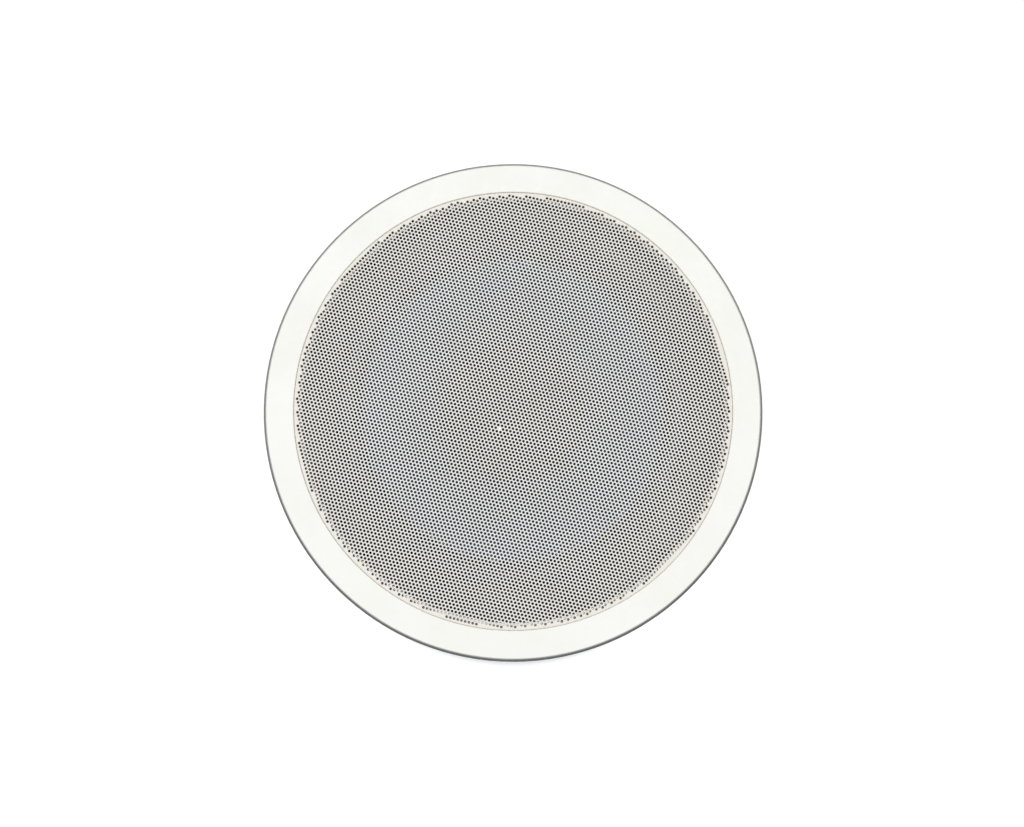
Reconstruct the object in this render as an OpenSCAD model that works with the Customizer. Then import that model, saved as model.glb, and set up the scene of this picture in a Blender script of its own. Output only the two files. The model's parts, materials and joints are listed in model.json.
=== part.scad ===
// Round loudspeaker that drops into a hole in a ceiling or wall board.
// Millimetres. +Z points out of the grille into the room, and z = 0 is the face of the board,
// so the flange lies in front of it and everything else hangs behind it.

/* [Bezel] */
// Diameter of the flange that shows in the room
flange_d = 267; // [264:1:272]
// How far the flange stands in front of the board
flange_h = 5; // [4.5:0.1:6]
// How far the flange's sloping side leans in from its foot to its top edge
edge_lean = 2.8; // [0.5:0.1:3]
// Rounding of the flange's top edge
edge_r = 0.4; // [0.2:0.1:1]
// Diameter of the opening that the grille sits in
seat_d = 233; // [232.6:0.1:233.6]
// Diameter of the collar that drops into the hole
collar_d = 239; // [239:0.1:240]
// Wall thickness of the moulding
wall = 2.4; // [2:0.1:2.6]
// Depth of the baffle's front face behind the board's face
baffle_depth = 8; // [7:0.5:9]

/* [Grille] */
// Diameter of the grille
grille_d = 232.4; // [232:0.1:232.5]
// Thickness of the perforated sheet
grille_t = 0.8; // [0.6:0.1:1]
// How far the grille lies behind the flange's face
grille_recess = 0.6; // [0.4:0.1:1]
// Distance between neighbouring holes
hole_pitch = 9; // [8:0.5:14]
// Hole diameter as a share of the pitch
hole_share = 0.67; // [0.4:0.01:0.7]
// Turn of the hole rows away from the X axis
lattice_turn = -13.9; // [-30:0.1:30]

/* [Driver] */
// Diameter of the driver's steel flange
frame_d = 210; // [208:1:210]
// Diameter of the cone where the surround begins
cone_d = 165; // [160:1:166]
// Depth of the cone from its rim to its neck
cone_depth = 32.4; // [28:0.1:33]
// Curve of the cone, where 1 is straight
cone_curve = 0.88; // [0.8:0.01:1]
// Diameter of the dust cap
cap_d = 78; // [60:1:80]
// Height of the dust cap's dome
cap_h = 10.5; // [8:0.5:12]
// Height of the surround's half roll
roll_h = 5.4; // [4.5:0.1:5.6]
// Number of windows in the basket
windows = 6; // [5:1:8]

/* [Motor] */
// Inside diameter of the voice coil
coil_d = 38.1; // [36:0.1:38.6]
// Diameter of the ferrite ring
magnet_d = 100; // [94:1:110]
// Thickness of the ferrite ring
magnet_h = 17; // [14:0.5:20]
// Thickness of the steel plates
plate_t = 6; // [5:0.5:7]

/* [Clamps] */
// Length of a clamp arm from its screw to its tip
arm_l = 23; // [20:0.5:24]
// Height of a clamp's hub
hub_h = 10; // [8:0.5:12]

/* [Hidden] */
smooth = 128;
fine = 48;
eps = 0.02;

// bezel
flange_r = flange_d / 2;
collar_r = collar_d / 2;
rim_w = 3;
rim_in_r = flange_r - edge_lean - 1;
seat_r = seat_d / 2;
grille_r = grille_d / 2;
groove_z = -2;
groove_in_r = 114.6;
rib_w = 1.6;
rib_z = 1.4;
well_r = groove_in_r - rib_w;
baffle_z = -baffle_depth;
baffle_t = 3;
baffle_hole_r = 97;
under_z = baffle_z - baffle_t;
rib_count = 24;

// grille
grille_z = flange_h - grille_recess;
hem_r = grille_t + 0.2;
first_hole = [0.5, -0.2];

// driver
frame_r = frame_d / 2;
steel = 1;
land_z = baffle_z + steel;
throat_r = 94.5;
shelf_z = -43;
shelf_r = 57.6;
pot_r = 48.6;
floor_z = -56;
floor_hole_r = 24;
wall_top_z = -13.5;
screw_ring_r = 100.8;
screw_count = 8;
cone_r = cone_d / 2;
rim_z = baffle_z + 0.4;
neck_r = coil_d / 2 + 0.3;
paper = 0.6;

// motor
plate_top_z = floor_z - steel;
plate_r = 46;
magnet_z = plate_top_z - plate_t;
yoke_z = magnet_z - magnet_h;
back_z = yoke_z - plate_t - 1;
pole_r = coil_d / 2 - 0.5;
gap_r = coil_d / 2 + 1.65;
wind_h = 12;
coil_z = plate_top_z - plate_t / 2;

// clamps
clamps = 4;
clamp_ring_r = 109.2;
clamp_screw_r = 2;
running = 0.08;
tower_end_z = -60;
foot_t = 3;
arm_w = 7;
arm_t = 5;
hub_r = 4.8;
arm_rest_z = tower_end_z + foot_t + 0.1;

// terminals, on the -Y side
block_y = -108;
block_size = [30, 16, 16];
button_x = 7.5;
button_y = -105;
entry_y = -112;
strip_z = -16.6;
button_top_z = -22;
button_end_z = -30.5;
tag_x = 9;

// vector of length 1 along v
function unit(v) = v / norm(v);

// arc of n steps round a centre, from angle a to angle b
function arc(c, r, a, b, n) = [for (i = [0:n]) c + r * [cos(a + (b - a) * i / n), sin(a + (b - a) * i / n)]];

// arc that rounds the corner b between a and c
function corner(a, b, c, r, n) =
    r == 0 ? [b] :
    let (u = unit(a - b), w = unit(c - b), half = acos(max(-1, min(1, u * w))) / 2,
         centre = b + unit(u + w) * r / sin(half),
         p = b + u * r / tan(half) - centre, q = b + w * r / tan(half) - centre)
    [for (i = [0:n]) centre + r * unit(p * (n - i) + q * i)];

// outline whose corners are [x, y, radius]
function rounded(pts, n = 4) = [
    for (i = [0:len(pts) - 1])
        let (k = len(pts), a = pts[(i + k - 1) % k], b = pts[i], c = pts[(i + 1) % k])
        each corner([a[0], a[1]], [b[0], b[1]], [c[0], c[1]], b[2], n)
];

// smooth path through the points p, with n steps between neighbours
function spline(p, n) = [
    for (i = [0:len(p) - 2]) for (s = [0:n - 1])
        let (a = p[max(i - 1, 0)], b = p[i], c = p[i + 1], d = p[min(i + 2, len(p) - 1)], t = s / n)
        0.5 * (2 * b + (c - a) * t + (2 * a - 5 * b + 4 * c - d) * t * t + (3 * b - a - 3 * c + d) * t * t * t),
    p[len(p) - 1]
];

// round wire of radius r along the path p, with the given number of sides
module wire(p, r, sides, up) {
    k = len(p);
    ways = [for (i = [0:k - 1]) unit(p[min(i + 1, k - 1)] - p[max(i - 1, 0)])];
    points = [
        for (i = [0:k - 1])
            let (side = unit(cross(ways[i], up)), top = cross(side, ways[i]))
            for (j = [0:sides - 1])
                p[i] + r * (cos(360 * j / sides) * side + sin(360 * j / sides) * top)
    ];
    faces = concat(
        [[for (j = [0:sides - 1]) j]],
        [for (i = [0:k - 2]) for (j = [0:sides - 1])
            let (here = i * sides, there = here + sides, next = (j + 1) % sides)
            [here + j, there + j, there + next, here + next]],
        [[for (j = [sides - 1:-1:0]) (k - 1) * sides + j]]
    );
    polyhedron(points, faces, convexity = 6);
}

module at_polar(r, a) {
    rotate([0, 0, a]) translate([r, 0, 0]) children();
}

module ring(inner, outer, low, high) {
    rotate_extrude($fn = smooth) polygon([[inner, low], [outer, low], [outer, high], [inner, high]]);
}

// Bezel frame

// Half section of the turned body, from the flange round the grille's groove to the baffle
module bezel_section() {
    polygon(concat(
        rounded([
            [rim_in_r, 0, 0],
            [flange_r, 0, 0.2],
            [flange_r - edge_lean, flange_h, edge_r],
            [seat_r, flange_h, 0.4],
            [seat_r, groove_z, 0],
            [groove_in_r, groove_z, 0],
            [groove_in_r, rib_z, 0.7],
            [well_r, rib_z, 0.7],
            [well_r, baffle_z, 0.3],
            [baffle_hole_r, baffle_z, 0.5],
            [baffle_hole_r, under_z, 0],
            [well_r + wall, under_z, 0.8],
            [well_r + wall, groove_z - wall, 0],
            [collar_r, groove_z - wall, 0.8],
            [collar_r, 0, 0],
            [collar_r + rim_w, 0, 0],
            [collar_r + rim_w, flange_h - wall, 0],
            [rim_in_r, flange_h - wall, 0]
        ], 6)
    ));
}

// Ribs under the hollow flange
module flange_ribs() {
    for (i = [0:rib_count - 1])
        rotate([0, 0, 360 * (i + 0.5) / rib_count])
            translate([collar_r + rim_w - 1, -0.75, 0])
                cube([rim_in_r - collar_r - rim_w + 2, 1.5, flange_h - wall + 0.5]);
}

tower_in = clamp_ring_r - 8.3;
tower_out = collar_r - 2.5;
tower_side = 7.2;

// Guide for one clamp: a spine, the side wall that stops the swung arm, and a foot for the screw
module clamp_tower() {
    length = under_z - tower_end_z + 0.5;
    translate([0, 0, tower_end_z]) {
        linear_extrude(length)
            polygon(rounded([
                [tower_in, -tower_side, 0.8],
                [tower_out, -tower_side, 0.8],
                [tower_out, -3.8, 0.5],
                [clamp_ring_r + 5.4, -3.8, 0.5],
                [clamp_ring_r + 5.4, -5.4, 0],
                [tower_in + 2, -5.4, 0.6],
                [tower_in + 2, tower_side, 0.8],
                [tower_in, tower_side, 0.8]
            ]));
        linear_extrude(foot_t)
            polygon(rounded([
                [tower_in + 1, -tower_side + 1, 0],
                [clamp_ring_r + 6, -tower_side + 1, 0],
                [clamp_ring_r + 6, 4.6, 4.5],
                [tower_in + 1, 4.6, 0]
            ]));
    }
    translate([0, 1, 0]) rotate([90, 0, 0]) linear_extrude(2)
        polygon([
            [baffle_hole_r + 0.6, under_z + 0.5],
            [baffle_hole_r + 0.6, under_z - 1],
            [tower_in + 0.5, under_z - 20],
            [tower_in + 0.5, under_z + 0.5]
        ]);
}

module terminal_pillars() {
    for (x = [-18.5, 18.5])
        translate([x, block_y, under_z - 5])
            cylinder(h = 5.5, r = 3.4, $fn = fine);
}

module bezel_frame() {
    color("white") difference() {
        union() {
            rotate_extrude($fn = smooth) bezel_section();
            flange_ribs();
            for (i = [1:clamps])
                rotate([0, 0, clamp_angle(i)]) clamp_tower();
            for (i = [0:screw_count - 1])
                at_polar(screw_ring_r, screw_angle(i))
                    translate([0, 0, under_z - 11]) cylinder(h = 11.5, r = 3.6, $fn = fine);
            terminal_pillars();
        }
        for (i = [1:clamps])
            at_polar(clamp_ring_r, clamp_angle(i))
                translate([0, 0, tower_end_z - 1])
                    cylinder(h = 60, r = clamp_screw_r + running, $fn = fine);
        for (i = [0:screw_count - 1])
            at_polar(screw_ring_r, screw_angle(i))
                translate([0, 0, under_z - 10]) cylinder(h = 20, r = 1.92, $fn = fine);
        for (x = [-18.5, 18.5])
            translate([x, block_y, under_z - 6]) cylinder(h = 7.6, r = 1.42, $fn = fine);
    }
}

function clamp_angle(i) = 45 + 360 * (i - 1) / clamps;
function screw_angle(i) = 360 * (i + 0.5) / screw_count;

// Grille

// Points of a triangular lattice with the given pitch, as far out as limit
function lattice(pitch, limit) = [
    for (i = [-40:40]) for (j = [-40:40])
        let (x = pitch * (i + j / 2), y = pitch * j * sqrt(3) / 2,
             p = [x * cos(lattice_turn) - y * sin(lattice_turn),
                  x * sin(lattice_turn) + y * cos(lattice_turn)] + first_hole)
        if (norm(p) < limit) p
];

// Flat perforated sheet with a turned edge that stands in the bezel's groove
module grille() {
    flat_r = grille_r - hem_r;
    color("ivory") {
        difference() {
            translate([0, 0, grille_z - grille_t]) cylinder(h = grille_t, r = flat_r, $fn = smooth);
            for (p = lattice(hole_pitch, flat_r - hole_pitch * hole_share / 2 - 0.4))
                translate([p[0], p[1], grille_z - grille_t - 1])
                    cylinder(h = grille_t + 2, d = hole_pitch * hole_share, $fn = 16);
        }
        rotate_extrude($fn = smooth) polygon(concat(
            [[flat_r, grille_z - grille_t]],
            arc([flat_r, grille_z - hem_r], hem_r, 90, 0, 6),
            [[grille_r, groove_z], [grille_r - grille_t, groove_z]],
            arc([flat_r, grille_z - hem_r], hem_r - grille_t, 0, 72, 5)
        ));
    }
}

// Foam strips on the baffle, one between each two clamp screws
module baffle_foam() {
    color("black") difference() {
        ring(frame_r + 0.3, well_r - 0.4, baffle_z, baffle_z + 2);
        for (i = [1:clamps])
            at_polar(clamp_ring_r, clamp_angle(i))
                translate([0, 0, baffle_z - 1]) cylinder(h = 4, r = 4, $fn = fine);
    }
}

// Driver chassis

// Half section of the pressed steel basket
module basket_section() {
    slope = (wall_top_z - shelf_z) / (throat_r - shelf_r);
    lean = sqrt(1 + slope * slope) * steel;
    polygon(rounded([
        [frame_r, baffle_z, 0],
        [frame_r, land_z, 0.5],
        [throat_r, land_z, 1.2],
        [throat_r, wall_top_z, 2],
        [shelf_r, shelf_z, 1.5],
        [pot_r, shelf_z, 1.2],
        [pot_r, floor_z, 1.5],
        [floor_hole_r, floor_z, 0],
        [floor_hole_r, floor_z - steel, 0],
        [pot_r + steel, floor_z - steel, 2.5],
        [pot_r + steel, shelf_z - steel, 0.4],
        [shelf_r + (lean - steel) / slope, shelf_z - steel, 2.5],
        [throat_r + steel, wall_top_z + steel * slope - lean, 3],
        [throat_r + steel, baffle_z, 0.4]
    ], 4));
}

// Plan of one window, between two radii and two angles, with rounded corners
module window_plan(inner, outer, half) {
    corner_r = 5;
    polygon(rounded(concat(
        [[inner * cos(half), -inner * sin(half), corner_r]],
        [[outer * cos(half), -outer * sin(half), corner_r]],
        [for (s = [-0.6, -0.2, 0.2, 0.6]) [outer * cos(half * s), outer * sin(half * s), 0]],
        [[outer * cos(half), outer * sin(half), corner_r]],
        [[inner * cos(half), inner * sin(half), corner_r]]
    ), 5));
}

module basket() {
    color("dimgray") difference() {
        rotate_extrude($fn = smooth) basket_section();
        for (i = [0:windows - 1])
            rotate([0, 0, -90 + 360 * (i + 0.5) / windows])
                translate([0, 0, shelf_z + 1]) linear_extrude(28)
                    window_plan(shelf_r + 6, throat_r - 6, 180 / windows - 8);
        for (i = [0:screw_count - 1])
            at_polar(screw_ring_r, screw_angle(i))
                translate([0, 0, baffle_z - 1]) cylinder(h = 3, r = 2.3, $fn = fine);
        for (i = [0:3])
            at_polar(36, 45 + 90 * i)
                translate([0, 0, floor_z - 2]) cylinder(h = 3, r = 1.56, $fn = fine);
        on_spoke() translate([0, 0, -3]) cylinder(h = 4, r = 1.56, $fn = fine);
    }
}

// Ring on the flange that traps the surround's edge
module basket_gasket() {
    color("black") difference() {
        rotate_extrude($fn = smooth) polygon([
            [throat_r + 1, land_z + 0.85], [throat_r + 3.1, land_z + 0.85],
            [throat_r + 3.1, land_z], [frame_r - 0.4, land_z],
            [frame_r - 0.4, land_z + 2.4], [frame_r - 1.2, land_z + 3.2],
            [throat_r + 1.8, land_z + 3.2], [throat_r + 1, land_z + 2.4]
        ]);
        for (i = [0:screw_count - 1])
            at_polar(screw_ring_r, screw_angle(i))
                translate([0, 0, land_z - 1]) cylinder(h = 6, r = 3.6, $fn = fine);
    }
}

// Pan head screw that points down, with its seat at z = 0
module pan_screw(head_r, head_h, shank_r, length) {
    difference() {
        rotate_extrude($fn = fine) polygon(concat(
            [[0, -length], [shank_r * 0.4, -length], [shank_r, -length + shank_r]],
            [[shank_r, 0], [head_r, 0]],
            arc([head_r - head_h * 0.8, head_h * 0.2], head_h * 0.8, 0, 90, 5),
            [[0, head_h]]
        ));
        for (a = [0, 90])
            rotate([0, 0, a]) translate([-head_r * 0.55, -0.4, head_h * 0.35])
                cube([head_r * 1.1, 0.8, head_h]);
    }
}

module basket_screws() {
    color("dimgray") for (i = [0:screw_count - 1])
        at_polar(screw_ring_r, screw_angle(i))
            translate([0, 0, land_z]) pan_screw(3.3, 2.2, 1.9, 13);
}

// Moving parts of the driver

function cone_z(r) =
    rim_z - cone_depth * (1 - pow(max(0, (r - neck_r) / (cone_r - neck_r)), cone_curve));

module cone() {
    steps = 18;
    radii = [for (i = [0:steps]) neck_r + (cone_r - neck_r) * i / steps];
    color("slategray") rotate_extrude($fn = smooth) polygon(concat(
        [for (r = radii) [r, cone_z(r)]],
        [for (i = [steps:-1:0]) [radii[i], cone_z(radii[i]) - paper * 1.15]]
    ));
}

module dust_cap() {
    cap_r = cap_d / 2;
    sphere_r = (cap_r * cap_r + cap_h * cap_h) / (2 * cap_h);
    half = asin(cap_r / sphere_r);
    centre = [0, cone_z(cap_r) + 0.1 + cap_h - sphere_r];
    color("#3b3d40") rotate_extrude($fn = smooth) polygon(concat(
        arc(centre, sphere_r, 90 - half, 90, 14),
        arc(centre, sphere_r - paper, 90, 90 - half + 0.4, 14)
    ));
}

module coil_former() {
    color("goldenrod") ring(coil_d / 2, coil_d / 2 + 0.25, coil_z - wind_h / 2 - 0.5, rim_z - cone_depth + 3);
}

module voice_coil() {
    color("#b5602c") ring(coil_d / 2 + 0.27, coil_d / 2 + 1.05, coil_z - wind_h / 2, coil_z + wind_h / 2);
}

// Half roll of rubber between the cone's rim and the basket's flange
module surround() {
    skin = 0.7;
    in_r = cone_r + 1;
    out_r = throat_r + 0.4;
    mid_r = (in_r + out_r) / 2;
    half_w = (out_r - in_r) / 2;
    base_z = land_z + 0.05;
    roll = [for (i = [0:14]) let (a = 180 - 180 * i / 14)
        [mid_r + half_w * cos(a), base_z + roll_h * sin(a)]];
    inside_roll = [for (i = [0:14]) let (a = 180 * i / 14)
        [mid_r + (half_w - skin) * cos(a), base_z + (roll_h - skin) * sin(a)]];
    color("#202224") rotate_extrude($fn = smooth) polygon(concat(
        [[cone_r - 4, cone_z(cone_r - 4) + 0.05], [cone_r - 4, cone_z(cone_r - 4) + skin]],
        [[cone_r - 0.5, cone_z(cone_r - 0.5) + skin]],
        roll,
        [[throat_r + 3, base_z + skin], [throat_r + 3, base_z - 0.05], [out_r - skin, base_z - 0.05]],
        inside_roll,
        [[cone_r + 0.2, cone_z(cone_r) + 0.1]]
    ));
}

// Corrugated cloth disc that centres the coil
module spider() {
    waves = 4.5;
    in_r = neck_r + 2.5;
    out_r = pot_r + 0.4;
    count = 54;
    cloth = 0.5;
    line = [for (i = [0:count]) let (t = i / count)
        [in_r + (out_r - in_r) * t, shelf_z + cloth / 2 + 1.5 * sin(360 * waves * t)]];
    color("tan") rotate_extrude($fn = smooth) polygon(concat(
        [[coil_d / 2 + 0.27, shelf_z + 2], [coil_d / 2 + 0.27, shelf_z], [in_r - 0.6, shelf_z]],
        [for (p = line) p - [0, cloth / 2]],
        [[shelf_r - 2.2, shelf_z], [shelf_r - 2.2, shelf_z + cloth]],
        [for (i = [count:-1:0]) line[i] + [0, cloth / 2]],
        [[in_r - 0.9, shelf_z + cloth], [coil_d / 2 + 0.9, shelf_z + 2]]
    ));
}

// Magnet system

module top_plate() {
    color("silver") difference() {
        ring(gap_r, plate_r, plate_top_z - plate_t, plate_top_z);
        for (i = [0:3])
            at_polar(36, 45 + 90 * i)
                translate([0, 0, plate_top_z - 3.5]) cylinder(h = 5, r = 1.56, $fn = fine);
    }
}

module magnet() {
    c = 1.2;
    r = magnet_d / 2;
    color("#4a4a4c") rotate_extrude($fn = smooth) polygon([
        [24, yoke_z], [r - c, yoke_z], [r, yoke_z + c],
        [r, magnet_z - c], [r - c, magnet_z], [24, magnet_z]
    ]);
}

// Back plate and pole forged as one, with a vent through the pole
module yoke() {
    color("silver") rotate_extrude($fn = smooth) polygon([
        [5, back_z], [plate_r - 1.5, back_z], [plate_r, back_z + 1.5], [plate_r, yoke_z],
        [pole_r + 1.5, yoke_z], [pole_r, yoke_z + 1.5],
        [pole_r, plate_top_z - 0.8], [pole_r - 0.8, plate_top_z], [5, plate_top_z]
    ]);
}

module plate_rivets() {
    color("silver") for (i = [0:3])
        at_polar(36, 45 + 90 * i) translate([0, 0, floor_z]) {
            cylinder(h = 1.2, r1 = 3, r2 = 2.2, $fn = fine);
            translate([0, 0, -4]) cylinder(h = 4.2, r = 1.5, $fn = fine);
        }
}

// Driver terminals, on the basket's -Y spoke

spoke_r = (throat_r + shelf_r) / 2 + 0.7;
spoke_z = (wall_top_z + shelf_z) / 2 - 0.7;
spoke_lean = atan((wall_top_z - shelf_z) / (throat_r - shelf_r));

// Frame on the spoke's outer face: X along the rim, Y up the slope, Z outward
module on_spoke() {
    translate([0, -spoke_r, spoke_z]) rotate([180 - spoke_lean, 0, 0]) rotate([0, 0, 180]) children();
}

module tag_board() {
    color("saddlebrown") on_spoke() difference() {
        translate([0, 0, 0.1]) linear_extrude(1.6)
            polygon(rounded([[-13, -5, 1], [13, -5, 1], [13, 5, 1], [-13, 5, 1]]));
        for (x = [-tag_x, tag_x])
            translate([x, 0, -1]) cylinder(h = 4, r = 1.32, $fn = fine);
        translate([0, 0, -1]) cylinder(h = 4, r = 1.56, $fn = fine);
    }
}

module solder_tags() {
    color("gold") on_spoke() for (x = [-tag_x, tag_x])
        translate([x, 0, 0]) {
            translate([0, 0, 0.3]) cylinder(h = 2.4, r = 1.3, $fn = fine);
            translate([0, 0, 2.1]) cylinder(h = 0.6, r = 2.1, $fn = fine);
            translate([0, 0, 1.7]) linear_extrude(0.5) difference() {
                polygon(rounded([
                    [-2.4, -4, 1], [2.4, -4, 1], [2.4, 5, 1],
                    [1.4, 10, 1], [-1.4, 10, 1], [-2.4, 5, 1]
                ]));
                translate([0, 8]) circle(r = 0.7, $fn = fine);
            }
        }
}

module tag_rivet() {
    color("silver") on_spoke() {
        translate([0, 0, -1.6]) cylinder(h = 3.6, r = 1.5, $fn = fine);
        translate([0, 0, 1.7]) cylinder(h = 0.9, r1 = 2.8, r2 = 2, $fn = fine);
    }
}

// Points of a braided lead from a solder tag, through the window beside the spoke, to the cone's back
tinsel_route = [
    [9.4, -76.1, -33.1], [11.5, -74, -35.2], [15.2, -70, -35.2], [16, -64, -34],
    [14, -57, -31.2], [10.8, -50.5, -28.2], [8.4, -46.2, -25.7]
];

module tinsel_lead(side) {
    color("#a56a3a") wire(spline([for (p = tinsel_route) [side * p[0], p[1], p[2]]], 4), 0.6, 8, [1, 0, 0.2]);
}

// Input terminals

module terminal_block() {
    low = under_z - block_size[2];
    color("#1d1e20") difference() {
        union() {
            translate([0, block_y, low]) linear_extrude(block_size[2])
                polygon(rounded([[-15, -8, 1.5], [15, -8, 1.5], [15, 8, 1.5], [-15, 8, 1.5]]));
            translate([0, block_y, under_z - 8]) linear_extrude(3)
                polygon(rounded([[-22, -3.6, 3.4], [22, -3.6, 3.4], [22, 3.6, 3.4], [-22, 3.6, 3.4]]));
        }
        for (x = [-18.5, 18.5])
            translate([x, block_y, under_z - 9]) cylinder(h = 5, r = 1.7, $fn = fine);
        for (x = [-button_x, button_x]) {
            translate([x - 3.3, button_y - 3.3, low - 1]) cube([6.6, 6.6, 6]);
            translate([x - 3.8, button_y - 3.8, low + 1.6]) cube([7.6, 7.6, strip_z - low - 1.6]);
            translate([x, entry_y, low - 1]) cylinder(h = 11, r = 1.5, $fn = fine);
            translate([x, entry_y, low - eps]) cylinder(h = 1, r1 = 2.4, r2 = 1.5, $fn = fine);
            translate([x - 2.1, -114, strip_z - eps]) cube([4.2, 20, 0.6]);
        }
    }
}

module terminal_screws() {
    color("dimgray") for (x = [-18.5, 18.5])
        translate([x, block_y, under_z - 8]) rotate([180, 0, 0]) pan_screw(2.8, 1.8, 1.4, 8.5);
}

// Brass strips over the wire holes, whose ends are the solder tabs
module contact_strips() {
    color("gold") for (x = [-button_x, button_x])
        translate([x, 0, strip_z]) linear_extrude(0.5) difference() {
            polygon(rounded([
                [-2, -113.6, 0.3], [2, -113.6, 0.3], [2, -98, 0.6],
                [1.2, -94.6, 0.6], [-1.2, -94.6, 0.6], [-2, -98, 0.6]
            ]));
            translate([0, -96.4]) circle(r = 0.6, $fn = fine);
        }
}

module terminal_button(side, paint) {
    color(paint) translate([side * button_x, button_y, 0]) {
        translate([0, 0, button_end_z]) linear_extrude(button_top_z - button_end_z)
            polygon(rounded([[-3, -3, 0.6], [3, -3, 0.6], [3, 3, 0.6], [-3, 3, 0.6]]));
        translate([0, 0, button_top_z - 3]) linear_extrude(3)
            polygon(rounded([[-3.5, -3.5, 0.3], [3.5, -3.5, 0.3], [3.5, 3.5, 0.3], [-3.5, 3.5, 0.3]]));
    }
}

// Coil spring between a button and its contact strip
module button_spring(side) {
    turns = 5;
    wire_r = 0.25;
    low = button_top_z + wire_r + 0.05;
    high = strip_z - wire_r - 0.05;
    steps = turns * 12;
    color("silver") translate([side * button_x, button_y, 0])
        wire([for (i = [0:steps]) let (a = 30 * i) [2.4 * cos(a), 2.4 * sin(a), low + (high - low) * i / steps]],
             wire_r, 6, [0, 0, 1]);
}

// Points of an insulated lead from a contact strip's tab to a solder tag
wire_route = [
    [7.5, -96, -17.55], [7.6, -96, -21], [8, -95, -25], [8.6, -92, -28],
    [9, -88.5, -28], [9, -85.4, -26.1]
];

module lead_wire(side, paint) {
    color(paint) wire(spline([for (p = wire_route) [side * p[0], p[1], p[2]]], 4), 0.9, 10, [1, 0, 0]);
}

// Clamps

module clamp_screw(i) {
    color("silver") at_polar(clamp_ring_r, clamp_angle(i))
        translate([0, 0, baffle_z]) pan_screw(3.5, 2.4, clamp_screw_r, baffle_z - tower_end_z + 1.5);
}

// Arm that lies along the rim until its screw swings it out, then climbs to grip the board
module clamp_arm(i) {
    tip = arm_l - arm_w / 2;
    color("white") at_polar(clamp_ring_r, clamp_angle(i)) translate([0, 0, arm_rest_z]) difference() {
        union() {
            cylinder(h = hub_h, r = hub_r, $fn = fine);
            translate([0, 0, hub_h - arm_t]) linear_extrude(arm_t)
                polygon(concat([[-arm_w / 2, 0], [arm_w / 2, 0]], arc([0, tip], arm_w / 2, 0, 180, 12)));
            translate([1.25, 0, 0]) rotate([0, -90, 0]) linear_extrude(2.5)
                polygon([[0, 3], [0, hub_r + 1], [hub_h - arm_t + 0.5, tip], [hub_h - arm_t + 0.5, 3]]);
            for (y = [tip - 6, tip - 3, tip])
                translate([-arm_w / 2 + 0.6, y - 0.4, hub_h - 0.5]) cube([arm_w - 1.2, 0.8, 1.1]);
        }
        translate([0, 0, -1]) cylinder(h = hub_h + 3, r = clamp_screw_r + running, $fn = fine);
    }
}

bezel_frame();
grille();
baffle_foam();
basket();
basket_gasket();
basket_screws();
surround();
cone();
dust_cap();
coil_former();
voice_coil();
spider();
top_plate();
magnet();
yoke();
plate_rivets();
tag_board();
solder_tags();
tag_rivet();
tinsel_lead(-1);  // tinsel_lead_left
tinsel_lead(1);  // tinsel_lead_right
terminal_block();
terminal_screws();
contact_strips();
terminal_button(1, "firebrick");  // terminal_button_red
terminal_button(-1, "#1d1e20");  // terminal_button_black
button_spring(1);  // button_spring_red
button_spring(-1);  // button_spring_black
lead_wire(1, "firebrick");  // wire_red
lead_wire(-1, "#1d1e20");  // wire_black
clamp_screw(1);  // clamp_screw_1
clamp_screw(2);  // clamp_screw_2
clamp_screw(3);  // clamp_screw_3
clamp_screw(4);  // clamp_screw_4
clamp_arm(1);  // clamp_arm_1
clamp_arm(2);  // clamp_arm_2
clamp_arm(3);  // clamp_arm_3
clamp_arm(4);  // clamp_arm_4
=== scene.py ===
"""Looks of a flush-mount loudspeaker, in metres.

+Z points out of the grille, and the grille's middle is on the Z axis.
"""

import json
import math

import bmesh
import bpy
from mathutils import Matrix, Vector


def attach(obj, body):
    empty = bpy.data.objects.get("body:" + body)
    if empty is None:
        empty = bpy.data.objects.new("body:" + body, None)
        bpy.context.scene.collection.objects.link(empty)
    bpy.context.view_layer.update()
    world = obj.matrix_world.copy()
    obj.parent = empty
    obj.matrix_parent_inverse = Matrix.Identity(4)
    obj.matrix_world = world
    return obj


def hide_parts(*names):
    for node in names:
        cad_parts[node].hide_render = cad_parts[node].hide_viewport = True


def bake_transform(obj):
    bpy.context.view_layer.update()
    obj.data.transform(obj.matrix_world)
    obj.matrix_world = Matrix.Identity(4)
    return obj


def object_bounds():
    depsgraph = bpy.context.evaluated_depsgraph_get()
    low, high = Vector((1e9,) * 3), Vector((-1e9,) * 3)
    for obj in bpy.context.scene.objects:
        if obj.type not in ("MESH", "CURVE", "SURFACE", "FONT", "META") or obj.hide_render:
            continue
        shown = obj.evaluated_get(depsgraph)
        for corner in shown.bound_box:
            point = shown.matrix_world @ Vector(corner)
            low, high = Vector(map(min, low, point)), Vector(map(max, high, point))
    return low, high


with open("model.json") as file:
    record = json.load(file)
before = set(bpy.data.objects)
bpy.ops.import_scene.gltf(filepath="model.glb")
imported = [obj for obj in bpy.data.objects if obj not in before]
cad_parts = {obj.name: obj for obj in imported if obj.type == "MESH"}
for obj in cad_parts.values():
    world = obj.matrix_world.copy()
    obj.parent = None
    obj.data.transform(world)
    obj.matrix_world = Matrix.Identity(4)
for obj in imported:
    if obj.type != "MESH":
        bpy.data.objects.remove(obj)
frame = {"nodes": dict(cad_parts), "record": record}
cad_low, cad_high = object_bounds()

MM = 0.001

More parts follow.
